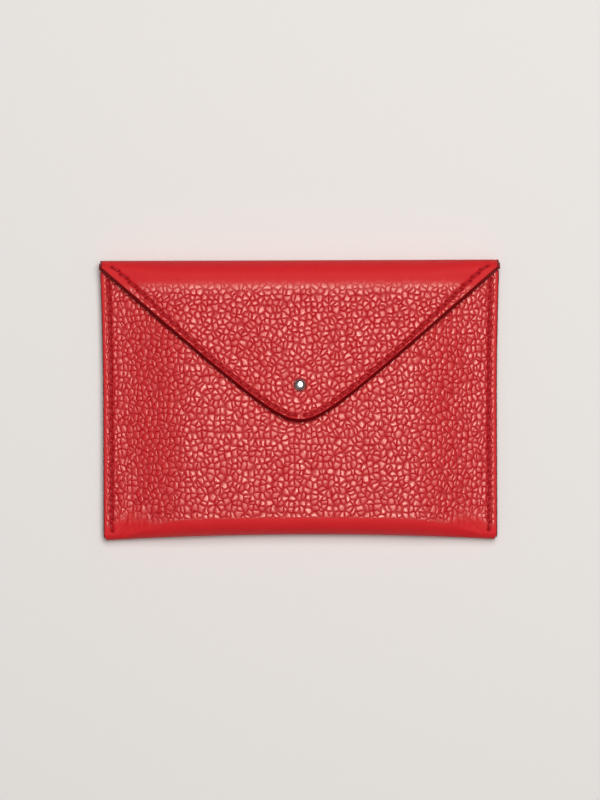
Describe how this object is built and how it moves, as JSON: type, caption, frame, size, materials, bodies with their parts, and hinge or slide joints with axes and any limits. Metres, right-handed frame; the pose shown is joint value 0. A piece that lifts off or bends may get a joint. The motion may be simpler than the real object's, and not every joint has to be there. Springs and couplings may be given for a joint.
{
  "type": "card holder",
  "caption": "Flat envelope card holder in grained leather, sewn up both sides, with a pointed flap that folds over and closes on a small press stud.",
  "frame": {"origin": "centre of the outline on the surface that the holder's back lies on", "axes": "+X across the width, +Y towards the top fold, +Z out of the flap side"},
  "size_m": [0.1146, 0.08, 0.0142],
  "materials": {
    "red_leather": "pebbled grain, semi-matt",
    "slot_leather": "smooth thin leather",
    "suede_lining": "fine suede",
    "polished_steel": "mirror polished",
    "steel_socket": "nickel plated",
    "stay_board": "bonded leather board",
    "red_thread": "waxed twisted thread"
  },
  "bodies": {
    "pouch": {"outer_shell": "red_leather", "pocket_lining": "suede_lining", "card_slot_panel": "slot_leather", "snap_stud": "steel_socket", "stud_rivet": "steel_socket", "front_stay": "stay_board", "left_stitching": "red_thread", "right_stitching": "red_thread"},
    "fold": {"fold_leather": "red_leather", "fold_lining": "suede_lining"},
    "flap": {"flap_leather": "red_leather", "flap_lining": "suede_lining", "snap_cap": "polished_steel", "flap_stay": "stay_board", "snap_socket": "steel_socket", "socket_spring": "steel_socket", "flap_stitching": "red_thread"}
  },
  "joints": [
    {"name": "fold_hinge", "type": "hinge", "parent": "pouch", "child": "fold", "pos_m": [0, 0.03891, 0.00109], "axis": [-1, 0, 0], "range_deg": [0, 86]},
    {"name": "flap_hinge", "type": "hinge", "parent": "fold", "child": "flap", "pos_m": [0, 0.03891, 0.00911], "axis": [-1, 0, 0], "range_deg": [0, 86]}
  ],
  "couplings": [
    {"joint": "flap_hinge", "follows": "fold_hinge", "ratio": 1}
  ]
}
